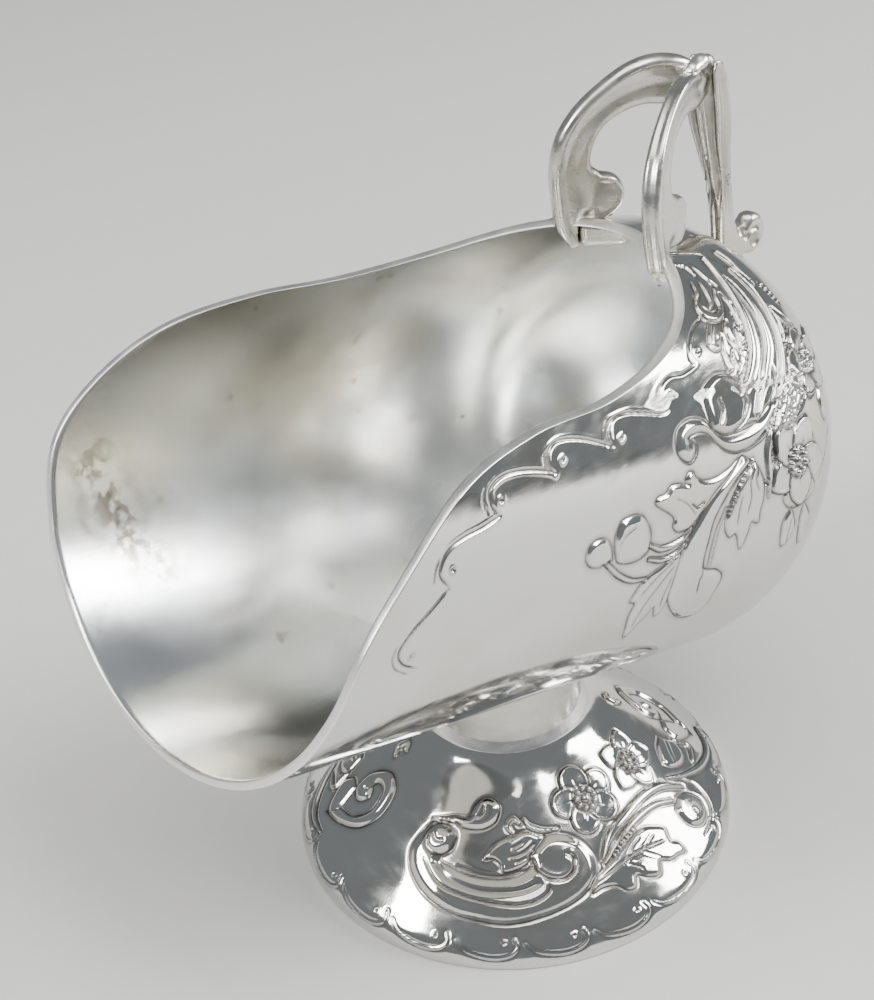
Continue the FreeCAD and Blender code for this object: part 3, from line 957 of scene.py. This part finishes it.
LEFT_LEG_OUTER = [
    (-0.6, -1.6), (4.0, 1.6), (9.5, 2.8), (14.5, 2.0), (20.5, -1.1), (25.0, -4.6), (28.3, -9.2),
    (29.8, -15.5), (29.5, -22.0), (28.6, -28.0), (26.4, -31.6),
]
RIGHT_LEG_OUTER = [
    (-0.6, -2.6), (4.0, -0.8), (9.5, 0.4), (14.5, -0.4), (20.5, -3.0), (25.2, -6.4), (28.7, -11.0),
    (30.4, -17.0), (30.2, -23.0), (29.0, -28.4), (26.4, -31.6),
]
LEG_STEM = [(24.5, -31.4), (24.2, -26.2)]
LEG_SCROLL = [
    (24.2, -26.2), (21.2, -26.9), (18.2, -26.7), (15.5, -24.4), (15.2, -21.3), (17.0, -18.6), (20.0, -17.4),
]
LEG_INNER = [
    (20.0, -17.4), (21.7, -15.6), (21.3, -12.0), (19.2, -8.6), (15.8, -6.8), (11.5, -6.1),
    (6.5, -6.9), (-0.6, -6.6),
]


def leg_point(points, side):
    """Takes leg points (across, forward, height) to the object's frame, in millimetres."""
    x, forward, z = points.T
    lean = -side * LEG_LEAN
    fan = side * LEG_FAN
    x, z = x * math.cos(lean) + z * math.sin(lean), -x * math.sin(lean) + z * math.cos(lean)
    y = -forward
    x, y = x * math.cos(fan) - y * math.sin(fan), x * math.sin(fan) + y * math.cos(fan)
    return np.stack([x, y, z], 1) + CROWN


def build_leg(name, side, material):
    """A flat cast leg: a bar with a worn hollow along its arch, and a smooth lobe with a raised edge."""
    outer = curve_through(RIGHT_LEG_OUTER if side > 0 else LEFT_LEG_OUTER, 8)
    inner = curve_through(LEG_INNER, 8)
    lobe = curve_through(LEG_SCROLL, 8)
    outline = np.vstack([outer, np.array(LEG_STEM), lobe, inner])
    arch = curve_through([(5, -3.2), (11, -2.4), (17, -3.4), (22, -6.6), (25, -11), (26, -15.5)], 8)
    low, high = (-2.5, -34), (32, 5)
    flat = plane_table(lambda x, y: closed_distance(x, y, outline), low, high, 0.25)
    from_arch = plane_table(lambda x, y: open_distance(x, y, arch), low, high, 0.25)
    from_outer = plane_table(lambda x, y: open_distance(x, y, outer), low, high, 0.25)
    from_inner = plane_table(lambda x, y: open_distance(x, y, inner), low, high, 0.25)
    from_lobe = plane_table(lambda x, y: open_distance(x, y, lobe), low, high, 0.25)

    def hollow(y, z):
        return 0.5 * np.exp(-(from_arch(y, z) / 1.5) ** 2) * ramp(-19, -10, z)

    def notch(y, z):
        return np.exp(-(np.hypot(0.6 * (y - 23.2), z + 24.9) / 0.8) ** 2)

    def field(x, y, z):
        lip = 0.3 * np.exp(-((from_lobe(y, z) - 0.7) / 0.5) ** 2) * ramp(22.5, 19.5, y)
        face = LEG_THICKNESS / 2 - 0.35 - hollow(y, z) - 0.4 * notch(y, z) + lip
        face = face + 0.35 * ramp(3.2, 1.0, from_outer(y, z))
        worn = 0.0
        if side > 0:
            worn = 0.22 * np.exp(-(x / 0.8) ** 2) * ramp(2.5, 0.5, from_outer(y, z))
        return rounded(flat(y, z) + worn, np.abs(x) - face, 1.15 if side > 0 else 1.5)

    def oxide(x, y, z):
        dark = 0.55 * ramp(1.5, 0.2, from_inner(y, z)) + 0.35 * hollow(y, z) + 0.9 * notch(y, z)
        edge = np.exp(-((from_outer(y, z) - 2.1) / 0.5) ** 2) * 0.25 * ramp(-8, -20, z)
        return np.clip(dark + edge, 0, 0.85)

    points, faces, data = field_mesh(field, (-2.6, -2.4, -33.2), (2.6, 31.6, 4.2), 0.3, {"oxide": oxide})
    placed = leg_point(points, side)
    return make_object(name, placed, outward(placed, faces), [material], None, data)


def build_tab(name, side, material):
    """A rounded strip under the sheet, behind a leg, that closes the leg's grip on the bowl's edge."""
    edge = 1.0

    def field(x, y, z):
        placed = leg_point(np.stack([x.ravel(), y.ravel(), z.ravel()], 1), side) - BOWL.origin
        reach = placed @ BOWL.axis
        radius = np.linalg.norm(placed - reach[:, None] * BOWL.axis, axis=1).reshape(x.shape)
        depth = BARREL_RADIUS - BOWL_SHEET - radius
        offsets = (np.abs(y - TAB_FORWARD), np.abs(x), np.abs(depth - TAB_DEPTH))
        gaps = np.stack([offset - half for offset, half in zip(offsets, TAB_HALF)]) + edge
        return np.linalg.norm(np.maximum(gaps, 0), axis=0) + np.minimum(gaps.max(0), 0) - edge

    points, faces, data = field_mesh(field, (-2.6, 14.4, -37.0), (2.6, 25.2, -25.0), 0.3)
    placed = leg_point(points, side)
    return make_object(name, placed, outward(placed, faces), [material], None, data)


LEAF_FRONT = [(57.4, 141.6), (57.6, 136.0), (58.8, 128.0), (60.9, 119.0), (62.4, 110.0), (62.8, 97.5)]
LEAF_SCROLL = [
    (67.4, 97.0), (69.6, 99.9), (72.6, 99.4), (75.4, 101.2), (76.1, 104.2), (74.6, 107.1), (71.8, 107.9),
    (69.9, 106.4), (68.4, 105.4),
]
LEAF_BACK = [(68.4, 105.4), (67.0, 109.5), (65.8, 116.0), (64.0, 125.0), (62.6, 134.0), (61.8, 140.2)]
LEAF_TOP = [(61.8, 140.2), (60.6, 143.2), (58.6, 143.6), (57.4, 141.6)]
LEAF_BALL = (71.6, 106.3)
LEAF_BALL_RADIUS = 1.55
LEAF_SIDES = [(2.8, 95.0), (1.9, 103.0), (2.1, 112.0), (3.2, 124.0), (4.3, 134.0), (3.2, 145.0)]


def build_leaf(name, material):
    """The leaf-shaped leg: hollows between a midrib and thin edges, and a coil with a ball at its foot."""
    outline = np.vstack([curve_through(part, 8) for part in (LEAF_FRONT, LEAF_SCROLL, LEAF_BACK, LEAF_TOP)])
    low, high = (54, 92), (79, 147)
    flat = plane_table(lambda y, z: closed_distance(y, z, outline), low, high, 0.25)
    turn = curve_through([(69.2, 105.6), (69.9, 103.8), (71.4, 104.9), (73.2, 104.8)], 8)
    from_turn = plane_table(lambda y, z: open_distance(y, z, turn), low, high, 0.25)
    sides = curve_through(LEAF_SIDES, 10)

    def half_width(y, z):
        leaf = np.interp(z, sides[:, 1], sides[:, 0])
        coil = ramp(66.5, 68.5, y)
        return leaf * (1 - coil) + 2.0 * coil

    def hollow(x, y, z):
        t = np.abs(x) / half_width(y, z)
        wide = 1.25 * ramp(110, 119, z) * np.exp(-((t - 0.54) / 0.24) ** 2)
        fold = 0.5 * ramp(137, 131, z) * ramp(118, 126, z) * np.exp(-(t / 0.09) ** 2)
        split = 0.55 * ramp(119, 112, z) * np.exp(-(x / 0.45) ** 2) * ramp(68.5, 66.5, y)
        return wide + fold + split

    def from_ball(y, z):
        return np.hypot(y - LEAF_BALL[0], z - LEAF_BALL[1])

    def coil_cut(y, z):
        cup = np.hypot(y - 72.6, z - 102.5)
        return 0.6 * ramp(1.9, 0.7, cup) + 0.7 * np.exp(-(from_turn(y, z) / 0.4) ** 2)

    def field(x, y, z):
        ball = np.hypot(from_ball(y, z), x) - LEAF_BALL_RADIUS
        side = np.abs(x) - half_width(y, z) + coil_cut(y, z)
        side = side + 0.8 * ramp(0.5, 2.2, -flat(y, z)) * ramp(106, 116, z)
        body = rounded(flat(y, z) + hollow(x, y, z), side, 1.5)
        return np.minimum(body, ball)

    def oxide(x, y, z):
        cut = coil_cut(y, z) * ramp(0.4, 1.0, np.abs(x)) * (from_ball(y, z) > 1.5)
        return np.clip(0.5 * hollow(x, y, z) * (z > 108) + 0.7 * cut, 0, 0.8)

    points, faces, data = field_mesh(field, (-5.4, 56, 96), (5.4, 77.5, 145.2), 0.32, {"oxide": oxide})
    return make_object(name, points, faces, [material], None, data)


def build_crown_bead(name, material):
    """The lump of solder where the three legs meet."""
    start = np.array([1.1, 53.2, 141.9])
    step = np.array([-0.6, 4.2, 0.9])
    places = ((0.0, 1.2), (0.35, 1.5), (0.7, 1.25), (1.0, 1.6))

    def field(x, y, z):
        gaps = []
        for place, radius in places:
            centre = start + place * step
            square = (x - centre[0]) ** 2 + (y - centre[1]) ** 2 + (z - centre[2]) ** 2
            gaps.append(np.sqrt(square) - radius)
        return -0.35 * np.log(sum(np.exp(-gap / 0.35) for gap in gaps))

    points, faces, data = field_mesh(field, (-3.5, 51, 138.5), (4.2, 61.5, 146.5), 0.22)
    return make_object(name, points, faces, [material], None, data)


# ---------------------------------------------------------------- materials

class Nodes:
    """Short names for building a node material."""

    def __init__(self, name):
        self.material = bpy.data.materials.new(name)
        self.material.use_nodes = True
        self.tree = self.material.node_tree
        self.shader = self.tree.nodes["Principled BSDF"]

    def link(self, output, socket):
        self.tree.links.new(output, socket)

    def place(self):
        return self.tree.nodes.new("ShaderNodeTexCoord").outputs["Object"]

    def stretched(self, scale):
        node = self.tree.nodes.new("ShaderNodeMapping")
        node.inputs["Scale"].default_value = scale
        self.link(self.place(), node.inputs["Vector"])
        return node.outputs["Vector"]

    def noise(self, size_mm, detail=3.0, vector=None, roughness=0.5):
        node = self.tree.nodes.new("ShaderNodeTexNoise")
        node.inputs["Scale"].default_value = 1000.0 / size_mm
        node.inputs["Detail"].default_value = detail
        node.inputs["Roughness"].default_value = roughness
        self.link(vector if vector is not None else self.place(), node.inputs["Vector"])
        return node.outputs["Fac"]

    def attribute(self, name):
        node = self.tree.nodes.new("ShaderNodeAttribute")
        node.attribute_name = name
        return node.outputs["Fac"]

    def ramp(self, value, stops):
        node = self.tree.nodes.new("ShaderNodeMapRange")
        node.interpolation_type = "SMOOTHSTEP"
        (a, b), (c, d) = stops
        for socket, number in zip(("From Min", "To Min", "From Max", "To Max"), (a, b, c, d)):
            node.inputs[socket].default_value = number
        self.link(value, node.inputs["Value"])
        return node.outputs["Result"]

    def math(self, operation, first, second):
        node = self.tree.nodes.new("ShaderNodeMath")
        node.operation = operation
        for socket, value in zip(node.inputs, (first, second)):
            if isinstance(value, (int, float)):
                socket.default_value = value
            else:
                self.link(value, socket)
        return node.outputs["Value"]

    def mix(self, factor, first, second):
        node = self.tree.nodes.new("ShaderNodeMix")
        node.data_type = "RGBA"
        self.link(factor, node.inputs["Factor"])
        for socket, value in ((node.inputs["A"], first), (node.inputs["B"], second)):
            if isinstance(value, tuple):
                socket.default_value = (*value, 1)
            else:
                self.link(value, socket)
        return node.outputs["Result"]

    def bump(self, heights):
        """Bumps from (height output, depth in millimetres) pairs."""
        normal = None
        for height, depth in heights:
            node = self.tree.nodes.new("ShaderNodeBump")
            node.inputs["Strength"].default_value = 1.0
            node.inputs["Distance"].default_value = depth * MM
            self.link(height, node.inputs["Height"])
            if normal is not None:
                self.link(normal, node.inputs["Normal"])
            normal = node.outputs["Normal"]
        self.link(normal, self.shader.inputs["Normal"])


SILVER = (0.70, 0.70, 0.675)
WARM_SILVER = (0.60, 0.56, 0.47)
CAST_SILVER = (0.66, 0.65, 0.60)
FILED_SILVER = (0.95, 0.94, 0.92)
OXIDE = (0.060, 0.050, 0.045)


def silver(name, rough_low, rough_high, tarnish=0.35, scratch=0.004, dents=0.02, clean=SILVER):
    """Silver plate: patchy tarnish, fine rubbed scratches, soft dents, and dark oxide in its hollows."""
    nodes = Nodes(name)
    nodes.shader.inputs["Metallic"].default_value = 1.0
    patches = nodes.noise(18, 4)
    specks = nodes.noise(2.2, 3)
    film = nodes.math("MULTIPLY", nodes.ramp(patches, ((0.42, 0), (0.75, 1))), tarnish)
    colour = nodes.mix(film, clean, WARM_SILVER)
    dark = nodes.attribute("oxide")
    broken = nodes.math("MULTIPLY", dark, nodes.ramp(specks, ((0.25, 0.7), (0.6, 1.1))))
    inked = nodes.math("MINIMUM", broken, 1.0)
    nodes.link(nodes.mix(inked, colour, OXIDE), nodes.shader.inputs["Base Color"])
    smear = nodes.noise(6, 5, nodes.stretched((1, 1, 3)))
    rough = nodes.ramp(smear, ((0.3, rough_low), (0.75, rough_high)))
    rougher = nodes.math("ADD", rough, nodes.math("MULTIPLY", inked, 0.3))
    nodes.link(rougher, nodes.shader.inputs["Roughness"])
    rub = nodes.noise(0.35, 2, nodes.stretched((1, 0.12, 1)))
    nodes.bump([(nodes.noise(9, 2), dents * 4), (rub, scratch)])
    return nodes.material


def satin(name):
    """The inside of the bowl: soft grey metal with a warm tarnish, water stains, smudges and a few pits."""
    nodes = Nodes(name)
    nodes.shader.inputs["Metallic"].default_value = 1.0
    tarnish = nodes.ramp(nodes.noise(60, 3), ((0.42, 0), (0.66, 1)))
    colour = nodes.mix(tarnish, (0.95, 0.97, 0.98), (0.86, 0.83, 0.72))
    stains = nodes.ramp(nodes.noise(24, 4), ((0.50, 0), (0.72, 1)))
    colour = nodes.mix(nodes.math("MULTIPLY", stains, 0.4), colour, (0.64, 0.58, 0.47))
    smudges = nodes.ramp(nodes.noise(6, 4), ((0.64, 0), (0.74, 0.55)))
    colour = nodes.mix(smudges, colour, (0.42, 0.37, 0.31))
    pits = nodes.ramp(nodes.noise(3.5, 2), ((0.74, 0), (0.80, 0.8)))
    colour = nodes.mix(pits, colour, (0.20, 0.18, 0.17))
    flakes = nodes.ramp(nodes.noise(3.0, 5), ((0.42, 0.1), (0.58, 1)))
    crust = nodes.math("MULTIPLY", nodes.attribute("oxide"), flakes)
    nodes.link(nodes.mix(crust, colour, (0.24, 0.21, 0.17)), nodes.shader.inputs["Base Color"])
    rough = nodes.ramp(nodes.noise(14, 2), ((0.3, 0.17), (0.75, 0.27)))
    nodes.link(rough, nodes.shader.inputs["Roughness"])
    brush = nodes.noise(0.5, 3, nodes.stretched((1, 0.15, 1)))
    nodes.bump([(nodes.noise(14, 2), 0.08), (brush, 0.006)])
    return nodes.material


def floor_material():
    nodes = Nodes("pale_floor")
    grain = nodes.noise(8, 4)
    colour = nodes.mix(grain, (0.60, 0.595, 0.58), (0.63, 0.625, 0.61))
    nodes.link(colour, nodes.shader.inputs["Base Color"])
    nodes.shader.inputs["Roughness"].default_value = 0.8
    return nodes.material


# ---------------------------------------------------------------- stage

def build_floor():
    mesh = bpy.data.meshes.new("floor")
    size = 3.0
    corners = [(-size, -size, 0), (size, -size, 0), (size, size, 0), (-size, size, 0)]
    mesh.from_pydata(corners, [], [(0, 1, 2, 3)])
    mesh.materials.append(floor_material())
    floor = bpy.data.objects.new("floor", mesh)
    bpy.context.scene.collection.objects.link(floor)


def towards(azimuth, elevation):
    """The direction of a place round the object. Azimuth 0 is on the mouth's side."""
    level = math.cos(elevation)
    return Vector((math.sin(azimuth) * level, -math.cos(azimuth) * level, math.sin(elevation)))


def soft_light(name, azimuth, elevation, distance, size, power, colour=(1, 1, 1)):
    """An area light aimed at the middle of the object."""
    data = bpy.data.lights.new(name, "AREA")
    data.shape = "RECTANGLE"
    data.size, data.size_y = size
    data.energy = power
    data.color = colour
    lamp = bpy.data.objects.new(name, data)
    aim = Vector((0, 0, 0.08))
    place = aim + distance * towards(math.radians(azimuth), math.radians(elevation))
    lamp.location = place
    lamp.rotation_euler = (aim - place).to_track_quat("-Z", "Y").to_euler()
    bpy.context.scene.collection.objects.link(lamp)


def build_light():
    world = bpy.data.worlds.new("studio")
    world.use_nodes = True
    world.node_tree.nodes["Background"].inputs["Color"].default_value = (0.50, 0.53, 0.56, 1)
    world.node_tree.nodes["Background"].inputs["Strength"].default_value = 0.45
    bpy.context.scene.world = world
    soft_light("key", 145, 26, 1.2, (0.7, 0.4), 17)
    soft_light("front", -15, 38, 1.2, (0.3, 0.4), 11)
    soft_light("fill", 100, 62, 1.4, (0.4, 0.5), 9)
    soft_light("top", 20, 82, 1.5, (1.1, 1.1), 14, (1.0, 0.98, 0.95))


CAMERA_PLACE = (0.1870, -0.1616, 0.2476)
LENS_LENGTH = 58.59
SENSOR_WIDTH = 36


def build_camera():
    """The photograph's view: from the front right and above, tipped a little."""
    azimuth, elevation, roll = math.radians(51.43), math.radians(34.48), math.radians(-5.75)
    right = Vector((math.cos(azimuth), math.sin(azimuth), 0))
    back = towards(azimuth, elevation)
    up = back.cross(right)
    across = math.cos(roll) * right + math.sin(roll) * up
    upward = -math.sin(roll) * right + math.cos(roll) * up
    data = bpy.data.cameras.new("camera")
    data.lens = LENS_LENGTH
    data.sensor_width = SENSOR_WIDTH
    data.clip_start = 0.01
    camera = bpy.data.objects.new("camera", data)
    turn = Matrix((across, upward, back)).transposed().to_4x4()
    camera.matrix_world = Matrix.Translation(CAMERA_PLACE) @ turn
    bpy.context.scene.collection.objects.link(camera)
    bpy.context.scene.camera = camera


def paint_node(name, material):
    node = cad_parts[name]
    for slot in node.material_slots:
        slot.material = material


def main():
    polished = silver("polished_silver", 0.05, 0.14, tarnish=0.5)
    cast = silver("cast_silver", 0.20, 0.36, tarnish=0.6, scratch=0.01, dents=0.03, clean=CAST_SILVER)
    dull = silver("collar_silver", 0.14, 0.28, tarnish=0.6, clean=CAST_SILVER)
    solder = silver("solder", 0.16, 0.32, tarnish=0.3, dents=0.05, clean=FILED_SILVER)
    inside = satin("satin_silver")
    filed = silver("filed_edge", 0.34, 0.46, tarnish=0.15, scratch=0.03, clean=FILED_SILVER)

    bowl = build_bowl(polished, inside, filed)
    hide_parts("bowl_shell")
    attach(bowl, ROOT)

    foot = build_foot(polished, inside)
    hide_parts("foot_dome")
    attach(foot, ROOT)

    for side, word in ((-1, "left"), (1, "right")):
        leg = build_leg("leg_" + word, side, cast)
        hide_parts("handle_" + word + "_leg")
        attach(leg, ROOT)
        tab = build_tab("tab_" + word, side, cast)
        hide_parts(word + "_rim_tab")
        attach(tab, ROOT)
    leaf = build_leaf("leaf", cast)
    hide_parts("handle_leaf")
    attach(leaf, ROOT)

    bead = build_crown_bead("crown_bead", solder)
    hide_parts("crown_solder")
    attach(bead, ROOT)

    paint_node("neck_collar", dull)
    paint_node("foot_solder", solder)
    paint_node("belly_solder", solder)

    build_floor()
    build_light()
    build_camera()


main()
